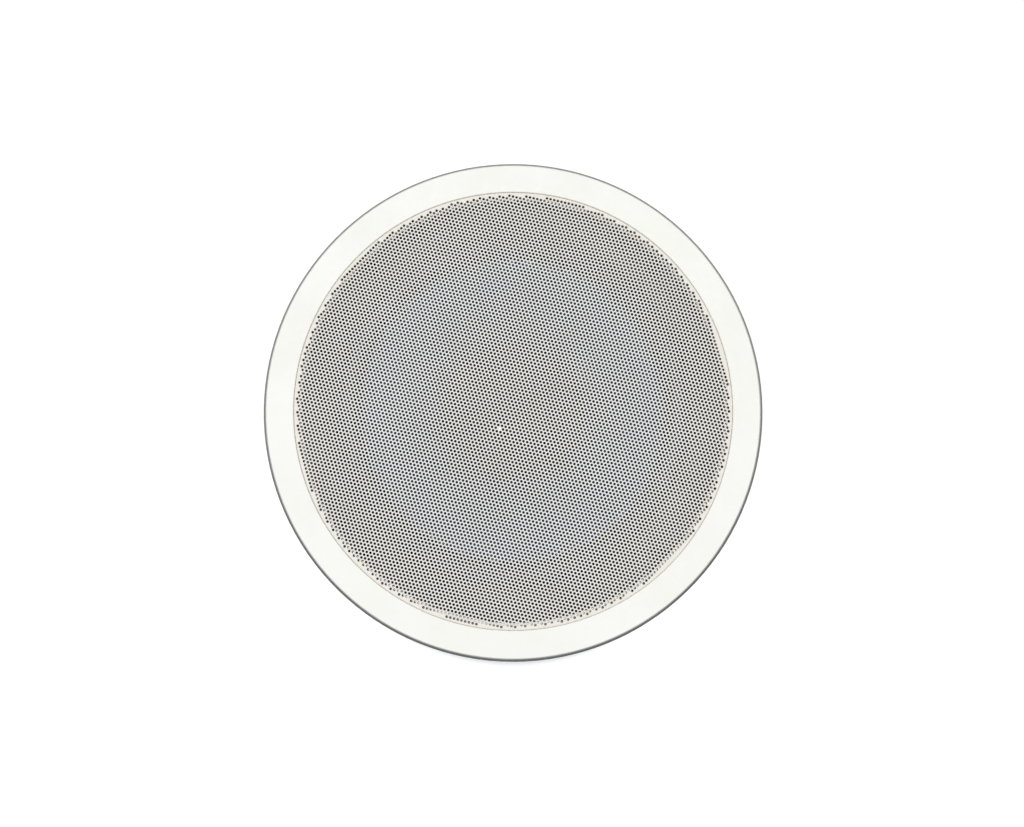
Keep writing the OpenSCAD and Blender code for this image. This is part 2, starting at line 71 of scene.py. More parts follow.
# The perforated sheet
SHEET_TOP = 4.4 * MM
SHEET_THICKNESS = 0.8 * MM
GRILLE_RADIUS = 116.44 * MM
HEM_RADIUS = 0.85 * MM
HEM_FOOT = -2.0 * MM
HOLE_PITCH = 2.0 * MM
HOLE_DIAMETER = 1.50 * MM
ROW_TURN = math.radians(-13.9)
FIRST_HOLE = Vector((0.50, -0.19, 0)) * MM
CLOSED_HOLE = Vector((-7.4, -10.5, 0)) * MM
LATTICE_COLUMNS = 121
LATTICE_ROWS = 139
CUT_ROWS = (-100, -27, 0, 27, 100)

# The cone, and the soft pieces between it and the driver's chassis
NECK_RADIUS = 19.35 * MM
CONE_RADIUS = 82.5 * MM
BEAD_RADIUS = 81.5 * MM
RIM_Z = -7.6 * MM
CONE_DEPTH = 32.4 * MM
CONE_CURVE = 0.88
CONE_THICKNESS = 0.69 * MM
CAP_RADIUS = 39 * MM
CAP_HEIGHT = 10.5 * MM
CAP_THICKNESS = 0.6 * MM
LAND_Z = -7 * MM
SHELF_Z = -43 * MM
ROLL_CENTRE = 89.2 * MM
ROLL_RADIUS = 5.7 * MM
ROLL_HEIGHT = 5.4 * MM
SURROUND_THICKNESS = 0.7 * MM
SPIDER_INNER = 21.85 * MM
SPIDER_OUTER = 49.0 * MM
SPIDER_WAVE = 1.5 * MM
SPIDER_THICKNESS = 0.5 * MM
SECTORS = 24

# The foam strips, the gasket and the room that they leave round screws
FOAM_INNER = 105.4 * MM
FOAM_OUTER = 112.5 * MM
FOAM_LOW = -8 * MM
FOAM_HIGH = -6.12 * MM
FOAM_CROWN = 0.12 * MM
CLAMP_SCREW_ROOM = 3.75 * MM
GASKET_INNER = 95.6 * MM
GASKET_OUTER = 104.5 * MM
GASKET_LOW = LAND_Z + 0.86 * MM
GASKET_HIGH = LAND_Z + 3.2 * MM
BASKET_SCREW_RING = 100.8 * MM
BASKET_SCREW_ROOM = 3.6 * MM

# The leads and springs
TINSEL_ROUTE = [
    (9.4, -76.1, -33.1), (11.5, -74, -35.2), (15.2, -70, -35.2), (16, -64, -34),
    (14, -57, -31.2), (10.8, -50.5, -28.2), (8.4, -46.2, -25.7),
]
WIRE_ROUTE = [
    (7.5, -96, -17.55), (7.6, -96, -21), (8, -95, -25), (8.6, -92, -28),
    (9, -88.5, -28), (9, -85.4, -26.1),
]
BUTTON_PLACE = (7.5, -105)
SPRING_FOOT = -21.7
SPRING_HEIGHT = 4.8

# The clamps
CLAMP_RING = 109.2 * MM
SCREW_SEAT = -8 * MM
SCREW_TIP = -61.5 * MM
SCREW_CORE = 1.66 * MM
THREAD_PITCH = 0.7 * MM
THREAD_TURNS = 73

# Where each finish, painted shade or painted reflection changes, from its first trace to its full strength
# Painted shade on the flange's sloping side, darker still in its lower half
SLOPE_SHADE = (130.8 * MM, 131.9 * MM)
LOWER_HALF = (20 * MM, -70 * MM)
WELL_SIDE = (116.48 * MM, 116.42 * MM)
WELL_TOP = (1.0 * MM, 0.8 * MM)
WELL_FLOOR = (-8.4 * MM, -8.1 * MM)
WELL_DARK_FADE = (111.5 * MM, 114.5 * MM)
WARM_REFLECTION_SPAN = (103 * MM, 115.5 * MM)
BLUE_REFLECTION_SPAN = (35 * MM, 76 * MM)

# Sizes of the wave textures. Bands are pi / 10 of them apart, so coil turns are drawn every 1.57 mm and
# cloth threads every 3.77 mm, coarser than the real 0.25 and 0.6 mm
TURNS_WAVE = 5 * MM
THREADS_WAVE = 12 * MM


# Small helpers

def colour(code):
    """Linear colour of an sRGB hex code."""
    parts = [int(code[i:i + 2], 16) / 255 for i in (0, 2, 4)]
    return tuple(p / 12.92 if p <= 0.04045 else ((p + 0.055) / 1.055) ** 2.4 for p in parts) + (1.0,)


def add(tree, kind, inputs=None, **settings):
    """Adds a node with its settings, and sets its inputs to values or links them to sockets."""
    node = tree.nodes.new(kind)
    for name, value in settings.items():
        setattr(node, name, value)
    for key, value in (inputs or {}).items():
        if isinstance(value, bpy.types.NodeSocket):
            tree.links.new(value, node.inputs[key])
        else:
            node.inputs[key].default_value = value
    return node


def grain(tree, size, low, high, detail=2.0, stretch=(1, 1, 1)):
    """Noise whose lumps are size metres across, spread between low and high."""
    place = add(tree, "ShaderNodeTexCoord")
    stretched = add(tree, "ShaderNodeMapping", {"Vector": place.outputs["Object"], "Scale": stretch})
    noise = add(tree, "ShaderNodeTexNoise", {
        "Vector": stretched.outputs[0], "Scale": 1 / size, "Detail": detail, "Roughness": 0.55,
    })
    graded = add(tree, "ShaderNodeMapRange", {
        "Value": noise.outputs[0], "From Min": 0.3, "From Max": 0.7, "To Min": low, "To Max": high,
    })
    return graded.outputs[0]


def axis_distance(tree):
    """Distance from the Z axis, in metres."""
    place = add(tree, "ShaderNodeTexCoord")
    level = add(tree, "ShaderNodeVectorMath", {0: place.outputs["Object"], 1: (1, 1, 0)}, operation="MULTIPLY")
    return add(tree, "ShaderNodeVectorMath", {0: level.outputs[0]}, operation="LENGTH").outputs["Value"]


def surface(tree, first, layers, roughness, sockets, bumps=None, depth=0.0):
    """Shader with a first hex colour, layers over it and bumps that are depth metres high.

    A layer is its share, from 0 to 1, and its colour as a hex code or a socket.
    """
    shade = colour(first)
    for share, over in layers:
        over = colour(over) if isinstance(over, str) else over
        shade = add(tree, "ShaderNodeMix", {0: share, 6: shade, 7: over}, data_type="RGBA").outputs[2]
    sockets = {"Base Color": shade, "Roughness": roughness, **sockets}
    if bumps:
        lifted = add(tree, "ShaderNodeBump", {"Height": bumps, "Distance": depth, "Strength": 1.0})
        sockets["Normal"] = lifted.outputs[0]
    return add(tree, "ShaderNodeBsdfPrincipled", sockets)


def coated(name, build):
    """Material whose shader the function build makes in its tree."""
    made = bpy.data.materials.new(name)
    made.use_nodes = True
    tree = made.node_tree
    tree.nodes.clear()
    add(tree, "ShaderNodeOutputMaterial", {"Surface": build(tree).outputs[0]})
    return made


# Materials

def moulded_abs(tree):
    """ABS from a spark-eroded mould: warm white, satin, fine grain.

    Painted shade greys the flange's sloping side, most of all its lower half. The well behind the grille is
    darkened to near black, paler toward its rib.
    """
    radius = axis_distance(tree)
    place = add(tree, "ShaderNodeTexCoord")
    split = add(tree, "ShaderNodeSeparateXYZ", {0: place.outputs["Object"]})
    # Painted shade: the flange's sloping side is greyed, darker in its lower half.
    low_down = add(tree, "ShaderNodeMapRange", {
        "Value": split.outputs["Y"], "From Min": LOWER_HALF[0], "From Max": LOWER_HALF[1],
    })
    painted_shade = add(tree, "ShaderNodeMix", {
        0: low_down.outputs[0], 6: colour("7C7973"), 7: colour("403E3B"),
    }, data_type="RGBA")
    sloping = add(tree, "ShaderNodeMapRange", {
        "Value": radius, "From Min": SLOPE_SHADE[0], "From Max": SLOPE_SHADE[1],
    })
    patchy_shade = add(tree, "ShaderNodeMath", {
        0: sloping.outputs[0], 1: grain(tree, 0.006, 0.96, 1.0),
    }, operation="MULTIPLY")
    # The well behind the grille is coloured near black, paler toward its rib.
    near_rib = add(tree, "ShaderNodeMapRange", {
        "Value": radius, "From Min": WELL_DARK_FADE[0], "From Max": WELL_DARK_FADE[1],
    })
    well_dark = add(tree, "ShaderNodeMix", {
        0: near_rib.outputs[0], 6: colour("3A3936"), 7: colour("9A9792"),
    }, data_type="RGBA")
    well = 1.0
    for value, ends in ((radius, WELL_SIDE), (split.outputs["Z"], WELL_TOP), (split.outputs["Z"], WELL_FLOOR)):
        edge = add(tree, "ShaderNodeMapRange", {"Value": value, "From Min": ends[0], "From Max": ends[1]})
        well = add(tree, "ShaderNodeMath", {0: well, 1: edge.outputs[0]}, operation="MULTIPLY").outputs[0]
    return surface(
        tree, "F4F2EA",
        [(grain(tree, 0.045, 0, 1), "F8F7F0"), (patchy_shade.outputs[0], painted_shade.outputs[2]), (well, well_dark.outputs[2])],
        grain(tree, 0.004, 0.56, 0.64), {"IOR": 1.54}, grain(tree, 0.0004, 0, 1), 0.000006,
    )


def powder_coat(tree):
    """Powder coat on steel: greyer than the bezel, matt, with a painted warm reflection along the turned edge.

    Its orange peel is about 1 mm across.
    """
    # Painted warm reflection, patchy, along the turned edge.
    near_edge = add(tree, "ShaderNodeMapRange", {
        "Value": axis_distance(tree), "From Min": WARM_REFLECTION_SPAN[0], "From Max": WARM_REFLECTION_SPAN[1],
    })
    warm_reflection = add(tree, "ShaderNodeMath", {
        0: near_edge.outputs[0], 1: grain(tree, 0.02, 0.6, 1.0),
    }, operation="MULTIPLY")
    return surface(
        tree, "E9E7E1", [(grain(tree, 0.03, 0, 1), "EEECE6"), (warm_reflection.outputs[0], "ECE6DC")],
        grain(tree, 0.003, 0.58, 0.68), {"IOR": 1.5}, grain(tree, 0.001, 0, 1), 0.00001,
    )


def closed_cell_foam(tree):
    """Polyethylene foam tape: dull brown-black, pitted by cells about 0.4 mm across."""
    place = add(tree, "ShaderNodeTexCoord")
    cells = add(tree, "ShaderNodeTexVoronoi", {"Vector": place.outputs["Object"], "Scale": 1 / 0.0004})
    pits = cells.outputs["Distance"]
    return surface(tree, "4A4541", [(pits, "34302D")], 0.95, {"IOR": 1.5}, pits, 0.0001)


def stove_enamel(tree):
    """Stove enamel on pressed steel: black, half gloss, with slight orange peel."""
    return surface(tree, "18181A", [(grain(tree, 0.02, 0, 1), "202022")], grain(tree, 0.005, 0.30, 0.40),
                   {"IOR": 1.5}, grain(tree, 0.0012, 0, 1), 0.000012)


def black_oxide(tree):
    """Black oxide on screw steel: a dark metal that still glints at its edges."""
    return surface(tree, "2A2A2C", [(grain(tree, 0.002, 0, 1), "3A3A3B")], grain(tree, 0.001, 0.38, 0.55),
                   {"Metallic": 1.0})


def butyl_rubber(tree):
    """Butyl rubber from a polished mould: black, soft sheen, with a faint bloom."""
    return surface(tree, "1A1A1B", [(grain(tree, 0.012, 0, 1, 4), "232323")], grain(tree, 0.006, 0.60, 0.72),
                   {"IOR": 1.52}, grain(tree, 0.0006, 0, 1), 0.000008)


def polypropylene(tree):
    """Moulded polypropylene: blue-grey and glossy, with a painted bluish reflection that grows toward its rim.

    It has the faint ripple of a thin moulding.
    """
    # Painted bluish reflection, growing toward the rim.
    outward = add(tree, "ShaderNodeMapRange", {
        "Value": axis_distance(tree), "From Min": BLUE_REFLECTION_SPAN[0], "From Max": BLUE_REFLECTION_SPAN[1],
    })
    return surface(tree, "353B49", [(outward.outputs[0], "424D69")], grain(tree, 0.008, 0.20, 0.27),
                   {"IOR": 1.49}, grain(tree, 0.009, 0, 1), 0.00012)


def felted_paper(tree):
    """Pressed paper: dark grey, matt, with fibres about 0.3 mm long."""
    return surface(tree, "302E2C", [(grain(tree, 0.0015, 0, 1, 6), "3C3A38")], 0.88, {"IOR": 1.5},
                   grain(tree, 0.0003, 0, 1, 4, (1, 0.35, 1)), 0.00005)


def aluminium_foil(tree):
    """Rolled aluminium foil: bright, with rolling lines along the coil's axis."""
    return surface(tree, "C9CACB", [(grain(tree, 0.003, 0, 1), "D8D9DA")],
                   grain(tree, 0.0005, 0.25, 0.40, 2, (1, 1, 0.05)), {"Metallic": 1.0})


def enamelled_copper(tree):
    """Copper wire under clear enamel, in rings that are coarser than real turns."""
    place = add(tree, "ShaderNodeTexCoord")
    turns = add(tree, "ShaderNodeTexWave", {
        "Vector": place.outputs["Object"], "Scale": 1 / TURNS_WAVE,
    }, bands_direction="Z").outputs["Fac"]
    return surface(tree, "7A3B1D", [(turns, "B5673A")], 0.28, {"Metallic": 1.0, "Coat Weight": 0.6},
                   turns, 0.00008)


def resin_cloth(tree):
    """Cotton cloth dipped in phenolic resin: amber tan, with threads both ways, coarser than real ones."""
    place = add(tree, "ShaderNodeTexCoord")
    warp, weft = (
        add(tree, "ShaderNodeTexWave", {
            "Vector": place.outputs["Object"], "Scale": 1 / THREADS_WAVE, "Distortion": 0.6,
        }, bands_direction=way).outputs["Fac"]
        for way in "XY"
    )
    threads = add(tree, "ShaderNodeMath", {0: warp, 1: weft}, operation="MULTIPLY").outputs[0]
    return surface(tree, "8A6A34", [(threads, "C2A15F")], 0.72, {"IOR": 1.5}, threads, 0.00015)


def zinc_plate(tree):
    """Zinc plate with clear passivation: pale steel that shifts a little between blue and straw."""
    return surface(tree, "B9BDC1", [(grain(tree, 0.012, 0, 1, 3), "C6C2B6")], grain(tree, 0.0015, 0.28, 0.42),
                   {"Metallic": 1.0})


def ground_ferrite(tree):
    """Sintered strontium ferrite, ground on its faces: charcoal with fine pale specks and chipped pores."""
    specks = grain(tree, 0.0005, 0, 1, 6)
    return surface(tree, "2E2E31", [(specks, "47474A")], grain(tree, 0.003, 0.48, 0.66), {"Metallic": 0.25},
                   specks, 0.00003)


def phenolic_board(tree):
    """Phenolic paper board: red-brown with darker flecks, cut edges dull."""
    return surface(tree, "5A2E18", [(grain(tree, 0.0012, 0, 1, 5), "7B4626")], grain(tree, 0.002, 0.42, 0.55),
                   {"IOR": 1.55}, grain(tree, 0.0005, 0, 1), 0.00001)


def tinned_brass(tree):
    """Brass strip with a thin coat of tin: pale, a little yellow, worn smooth."""
    return surface(tree, "C9BB8C", [(grain(tree, 0.002, 0, 1, 4), "D2CDBD")], grain(tree, 0.001, 0.22, 0.38),
                   {"Metallic": 1.0})


def copper_braid(tree):
    """Bare copper strand, slightly browned."""
    return surface(tree, "9A5732", [(grain(tree, 0.0008, 0, 1), "C27E50")], grain(tree, 0.0006, 0.32, 0.48),
                   {"Metallic": 1.0})


def moulded_black(tree):
    """Black ABS with a fine moulded grain: a soft grey sheen at grazing light."""
    return surface(tree, "1B1C1E", [(grain(tree, 0.01, 0, 1), "222325")], grain(tree, 0.002, 0.42, 0.52),
                   {"IOR": 1.54}, grain(tree, 0.0003, 0, 1), 0.000012)


def moulded_red(tree):
    """Red ABS, a bright push button with a slight gloss."""
    return surface(tree, "A81A18", [(grain(tree, 0.004, 0, 1), "B8231F")], grain(tree, 0.002, 0.30, 0.40),
                   {"IOR": 1.54}, grain(tree, 0.0003, 0, 1), 0.000008)


def spring_steel(tree):
    """Drawn spring wire: bright steel, a little streaky."""
    return surface(tree, "B5B6B8", [(grain(tree, 0.001, 0, 1), "CCCDCF")], grain(tree, 0.0004, 0.18, 0.30),
                   {"Metallic": 1.0})


def red_pvc(tree):
    """Red PVC insulation: smooth, a little waxy."""
    return surface(tree, "A51C1A", [(grain(tree, 0.003, 0, 1), "B32421")], grain(tree, 0.002, 0.34, 0.44),
                   {"IOR": 1.53})


def black_pvc(tree):
    """Black PVC insulation: smooth, a little waxy."""
    return surface(tree, "161617", [(grain(tree, 0.003, 0, 1), "1F1F20")], grain(tree, 0.002, 0.34, 0.44),
                   {"IOR": 1.53})


def glass_filled_nylon(tree):
    """Nylon with glass fibre, natural white: chalky, with fibre streaks at the surface."""
    return surface(tree, "DCDAD2", [(grain(tree, 0.004, 0, 1, 4, (1, 0.3, 1)), "E8E6DF")],
                   grain(tree, 0.001, 0.50, 0.66), {"IOR": 1.53},
                   grain(tree, 0.0006, 0, 1, 2, (1, 0.3, 1)), 0.00001)


FINISHES = {
    "bezel_plastic": coated("abs_moulded_warm_white", moulded_abs),
    "grille_paint": coated("steel_powder_coated_white", powder_coat),
    "black_foam": coated("foam_closed_cell_black", closed_cell_foam),
    "basket_paint": coated("steel_stove_enamelled_black", stove_enamel),
    "black_screw": coated("steel_black_oxide", black_oxide),
    "surround_rubber": coated("rubber_butyl_moulded", butyl_rubber),
    "cone_film": coated("polypropylene_blue_grey", polypropylene),
    "cap_paper": coated("paper_felted_dark", felted_paper),
    "former_film": coated("aluminium_foil", aluminium_foil),
    "copper_wire": coated("copper_enamelled", enamelled_copper),
    "spider_cloth": coated("cotton_resin_dipped", resin_cloth),
    "zinc_steel": coated("steel_zinc_plated", zinc_plate),
    "ferrite": coated("ferrite_ground", ground_ferrite),
    "phenolic_board": coated("board_phenolic_paper", phenolic_board),
    "tinned_brass": coated("brass_tinned", tinned_brass),
    "copper_braid": coated("copper_bare_strand", copper_braid),
    "black_plastic": coated("abs_moulded_black", moulded_black),
    "red_plastic": coated("abs_moulded_red", moulded_red),
    "spring_steel": coated("steel_spring_wire", spring_steel),
    "red_insulation": coated("pvc_red", red_pvc),
    "black_insulation": coated("pvc_black", black_pvc),
    "clamp_plastic": coated("nylon_glass_filled", glass_filled_nylon),
}
for part in frame["record"]["subparts"]:
    skin = frame["nodes"][part["node"]].data
    skin.materials.clear()
    skin.materials.append(FINISHES[part["material_slot"]])


# Making pieces

def placed(name, mesh, finish):
    """Object at the origin that shows a mesh in one of the finishes."""
    obj = bpy.data.objects.new(name, mesh)
    bpy.context.scene.collection.objects.link(obj)
    if not mesh.materials:
        mesh.materials.append(FINISHES[finish])
    return obj


def node_tree(name, sizes):
    """Geometry node tree with a geometry input, the named inputs and a geometry output."""
    tree = bpy.data.node_groups.new(name, "GeometryNodeTree")
    tree.interface.new_socket("Geometry", in_out="INPUT", socket_type="NodeSocketGeometry")
    for label, kind in sizes.items():
        tree.interface.new_socket(label, in_out="INPUT", socket_type="NodeSocket" + kind)
    tree.interface.new_socket("Geometry", in_out="OUTPUT", socket_type="NodeSocketGeometry")
    return tree, add(tree, "NodeGroupInput").outputs


def finished(tree, pieces, given):
    """Adds the nodes that join pieces, realize them and give them the material."""
    joined = add(tree, "GeometryNodeJoinGeometry")
    for piece in pieces:
        tree.links.new(piece, joined.inputs[0])
    real = add(tree, "GeometryNodeRealizeInstances", {"Geometry": joined.outputs[0]})
    painted = add(tree, "GeometryNodeSetMaterial", {
        "Geometry": real.outputs[0], "Material": given["Material"],
    })
    add(tree, "NodeGroupOutput", {"Geometry": painted.outputs[0]})


def grown(name, tree, start, finish, sizes):
    """Plain mesh object that a node tree makes from a start mesh and its sizes."""
    obj = placed(name, start, finish)
    modifier = obj.modifiers.new("build", "NODES")
    modifier.node_group = tree
    sizes = {**sizes, "Material": FINISHES[finish]}
    for item in tree.interface.items_tree:
        if item.in_out == "INPUT" and item.name in sizes:
            value = sizes[item.name]
            modifier[item.identifier] = list(value) if isinstance(value, Vector) else value
    bpy.context.view_layer.update()
    graph = bpy.context.evaluated_depsgraph_get()
    mesh = bpy.data.meshes.new_from_object(obj.evaluated_get(graph), depsgraph=graph)
    obj.modifiers.clear()
    obj.data = mesh
    return obj


def skinned(name, rings, finish, crease, whole=True):
    """Closed solid over rings of equally many points, where the last ring joins the first if it is whole."""
    count = len(rings[0])
    faces = []
    for i in range(len(rings) if whole else len(rings) - 1):
        here, there = i * count, (i + 1) % len(rings) * count
        for j in range(count):
            k = (j + 1) % count
            faces.append((here + j, there + j, there + k, here + k))
    if not whole:
        last = (len(rings) - 1) * count
        faces += [tuple(range(count)), tuple(range(last, last + count))]
    mesh = bpy.data.meshes.new(name)
    mesh.from_pydata([point for ring in rings for point in ring], [], faces)
    work = bmesh.new()
    work.from_mesh(mesh)
    bmesh.ops.remove_doubles(work, verts=work.verts, dist=1e-7)
    bmesh.ops.recalc_face_normals(work, faces=work.faces)
    bmesh.ops.triangulate(work, faces=[f for f in work.faces if len(f.verts) > 4])
    work.to_mesh(mesh)
    work.free()
    mesh.shade_smooth()
    mesh.set_sharp_from_angle(angle=math.radians(crease))
    return placed(name, mesh, finish)


def swung(section, angle):
    """Points of a section of (radius, height) points that stands at an angle round the Z axis."""
    return [(r * math.cos(angle), r * math.sin(angle), z) for r, z in section]


def turned(name, section, finish, steps, start=0.0, end=2 * math.pi):
    """Closed solid that a section sweeps round the Z axis between two angles."""
    whole = abs(end - start) > 2 * math.pi - 1e-6
    count = steps if whole else steps + 1
    rings = [swung(section, start + (end - start) * i / steps) for i in range(count)]
    return skinned(name, rings, finish, 30, whole)


def arc(centre, radius, start, end, steps):
    """Points of an arc in a section, between two angles in degrees."""
    angles = [math.radians(start + (end - start) * i / steps) for i in range(steps + 1)]
    return [(centre[0] + radius * math.cos(a), centre[1] + radius * math.sin(a)) for a in angles]


# Grille: the perforated sheet in four strips that meet between rows of holes, and the turned hem round it

def thickened(tree, flat, given):
    """Adds the nodes that raise a flat sheet of faces from the underside's level into a closed solid."""
    drop = add(tree, "ShaderNodeCombineXYZ", {"Z": given["Underside"]})
    low = add(tree, "GeometryNodeSetPosition", {"Geometry": flat, "Offset": drop.outputs[0]})
    lift = add(tree, "ShaderNodeCombineXYZ", {"Z": given["Thickness"]})
    raised = add(tree, "GeometryNodeExtrudeMesh", {
        "Mesh": low.outputs[0], "Offset": lift.outputs[0], "Offset Scale": 1.0, "Individual": False,
    })
    under = add(tree, "GeometryNodeFlipFaces", {"Mesh": low.outputs[0]})
    solid = add(tree, "GeometryNodeJoinGeometry")
    tree.links.new(under.outputs[0], solid.inputs[0])
    tree.links.new(raised.outputs["Mesh"], solid.inputs[0])
    welded = add(tree, "GeometryNodeMergeByDistance", {"Geometry": solid.outputs[0], "Distance": 1e-6})
    flat_shaded = add(tree, "GeometryNodeSetShadeSmooth", {
        "Geometry": welded.outputs[0], "Shade Smooth": False,
    })
    finished(tree, [flat_shaded.outputs[0]], given)


def punched_rows():
    """Tree that repeats one punched cell over some rows of a triangular lattice."""
    tree, given = node_tree("punched_rows", {
        "Pitch": "Float", "Thickness": "Float", "Underside": "Float", "Reach": "Float", "Row turn": "Float",
        "First hole": "Vector", "Closed hole": "Vector", "From row": "Int", "To row": "Int",
        "Material": "Material",
    })
    rise = add(tree, "ShaderNodeMath", {0: given["Pitch"], 1: math.sqrt(3) / 2}, operation="MULTIPLY")
    wide = add(tree, "ShaderNodeMath", {0: given["Pitch"], 1: LATTICE_COLUMNS - 1}, operation="MULTIPLY")
    high = add(tree, "ShaderNodeMath", {0: rise.outputs[0], 1: LATTICE_ROWS - 1}, operation="MULTIPLY")
    grid = add(tree, "GeometryNodeMeshGrid", {
        "Size X": wide.outputs[0], "Size Y": high.outputs[0],
        "Vertices X": LATTICE_COLUMNS, "Vertices Y": LATTICE_ROWS,
    })
    points = add(tree, "GeometryNodeMeshToPoints", {"Mesh": grid.outputs["Mesh"]})
    place = add(tree, "GeometryNodeInputPosition")
    split = add(tree, "ShaderNodeSeparateXYZ", {0: place.outputs[0]})
    share = add(tree, "ShaderNodeMath", {0: split.outputs["Y"], 1: rise.outputs[0]}, operation="DIVIDE")
    row = add(tree, "ShaderNodeMath", {0: share.outputs[0]}, operation="ROUND")
    below = add(tree, "FunctionNodeCompare", {0: row.outputs[0], 1: given["From row"]},
                data_type="FLOAT", operation="LESS_THAN")
    above = add(tree, "FunctionNodeCompare", {0: row.outputs[0], 1: given["To row"]},
                data_type="FLOAT", operation="GREATER_EQUAL")
    outside = add(tree, "FunctionNodeBooleanMath", {0: below.outputs[0], 1: above.outputs[0]}, operation="OR")
    rows = add(tree, "GeometryNodeDeleteGeometry", {
        "Geometry": points.outputs[0], "Selection": outside.outputs[0],
    })
    odd = add(tree, "ShaderNodeMath", {0: row.outputs[0], 1: 2.0}, operation="FLOORED_MODULO")
    half = add(tree, "ShaderNodeMath", {0: given["Pitch"], 1: 0.5}, operation="MULTIPLY")
    shift = add(tree, "ShaderNodeMath", {0: odd.outputs[0], 1: half.outputs[0]}, operation="MULTIPLY")
    moved_x = add(tree, "ShaderNodeMath", {0: split.outputs["X"], 1: shift.outputs[0]}, operation="ADD")
    level = add(tree, "ShaderNodeCombineXYZ", {"X": moved_x.outputs[0], "Y": split.outputs["Y"]})
    slanted = add(tree, "ShaderNodeVectorRotate", {"Vector": level.outputs[0], "Angle": given["Row turn"]},
                  rotation_type="Z_AXIS")
    home = add(tree, "ShaderNodeVectorMath", {0: slanted.outputs[0], 1: given["First hole"]}, operation="ADD")
    lattice = add(tree, "GeometryNodeSetPosition", {"Geometry": rows.outputs[0], "Position": home.outputs[0]})
    far = add(tree, "ShaderNodeVectorMath", {0: place.outputs[0]}, operation="LENGTH")
    beyond = add(tree, "FunctionNodeCompare", {0: far.outputs["Value"], 1: given["Reach"]},
                 data_type="FLOAT", operation="GREATER_THAN")
    apart = add(tree, "ShaderNodeVectorMath", {0: place.outputs[0], 1: given["Closed hole"]},
                operation="DISTANCE")
    closed = add(tree, "FunctionNodeCompare", {0: apart.outputs["Value"], 1: half.outputs[0]},
                 data_type="FLOAT", operation="LESS_THAN")
    unwanted = add(tree, "FunctionNodeBooleanMath", {0: beyond.outputs[0], 1: closed.outputs[0]},
                   operation="OR")
    kept = add(tree, "GeometryNodeDeleteGeometry", {
        "Geometry": lattice.outputs[0], "Selection": unwanted.outputs[0],
    })
    cells = add(tree, "GeometryNodeInstanceOnPoints", {
        "Points": kept.outputs[0], "Instance": given["Geometry"],
    })
    real = add(tree, "GeometryNodeRealizeInstances", {"Geometry": cells.outputs[0]})
    joined = add(tree, "GeometryNodeMergeByDistance", {"Geometry": real.outputs[0], "Distance": 1e-6})
    thickened(tree, joined.outputs[0], given)
    return tree


def filled_border():
    """Tree that fills the space between closed outlines: the sheet's edge, the cells' edge and single holes."""
    tree, given = node_tree("filled_border", {
        "Thickness": "Float", "Underside": "Float", "Material": "Material",
    })
    outlines = add(tree, "GeometryNodeMeshToCurve", {"Mesh": given["Geometry"]})
    filled = add(tree, "GeometryNodeFillCurve", {"Curve": outlines.outputs[0]}, mode="TRIANGLES")
    thickened(tree, filled.outputs[0], given)
    return tree


def ring_points(centre, radius, count, first=0.0):
    """Points of a level polygon round a centre."""
    angles = [first + 2 * math.pi * i / count for i in range(count)]
    return [(centre[0] + radius * math.cos(a), centre[1] + radius * math.sin(a), 0) for a in angles]


def punched_cell():
    """Flat hexagon, as wide as the pitch, round a hole of twelve sides."""
    rim = ring_points((0, 0), HOLE_PITCH / math.sqrt(3), 6, ROW_TURN + math.pi / 6)
    hole = ring_points((0, 0), HOLE_DIAMETER / 2, 12, ROW_TURN + math.pi / 6)
    faces = []
    for i in range(6):
        a, b, c = 6 + 2 * i, 7 + 2 * i, 6 + (2 * i + 2) % 12
        faces += [(i, b, a), (i, (i + 1) % 6, b), ((i + 1) % 6, c, b)]
    mesh = bpy.data.meshes.new("punched_cell")
    mesh.from_pydata(rim + hole, [], faces)
    return mesh


def border_outlines(reach, edge_radius):
    """Edges between the cells within reach and the sheet's edge, with the holes that lie whole in between."""
    along = Vector((math.cos(ROW_TURN), math.sin(ROW_TURN), 0)) * HOLE_PITCH
    across = Vector((math.cos(ROW_TURN + math.pi / 3), math.sin(ROW_TURN + math.pi / 3), 0)) * HOLE_PITCH
    sides, points, single = {}, {}, []
    for i in range(-80, 81):
        for j in range(-80, 81):
            centre = FIRST_HOLE + i * along + j * across
            if centre.length > edge_radius - HOLE_DIAMETER / 2 - 0.1 * MM:
                continue
            if (centre - CLOSED_HOLE).length < HOLE_PITCH / 2:
                continue
            if centre.length > reach:
                single.append(ring_points(centre, HOLE_DIAMETER / 2, 12))
                continue
            corners = ring_points(centre, HOLE_PITCH / math.sqrt(3), 6, ROW_TURN + math.pi / 6)
            keys = [(round(x / MM * 100), round(y / MM * 100)) for x, y, z in corners]
            points.update(zip(keys, corners))
            for a, b in zip(keys, keys[1:] + keys[:1]):
                if (b, a) in sides:
                    del sides[(b, a)]
                else:
                    sides[(a, b)] = True
    places = list(points.values())
    index = {key: n for n, key in enumerate(points)}
    edges = [(index[a], index[b]) for a, b in sides]
    for outline in single + [ring_points((0, 0), edge_radius, 360)]:
        first = len(places)
        places += outline
        edges += [(first + k, first + (k + 1) % len(outline)) for k in range(len(outline))]
    used = sorted({v for e in edges for v in e})
    renumber = {v: n for n, v in enumerate(used)}
    mesh = bpy.data.meshes.new("border_outlines")
    mesh.from_pydata([places[v] for v in used], [(renumber[a], renumber[b]) for a, b in edges], [])
    return mesh


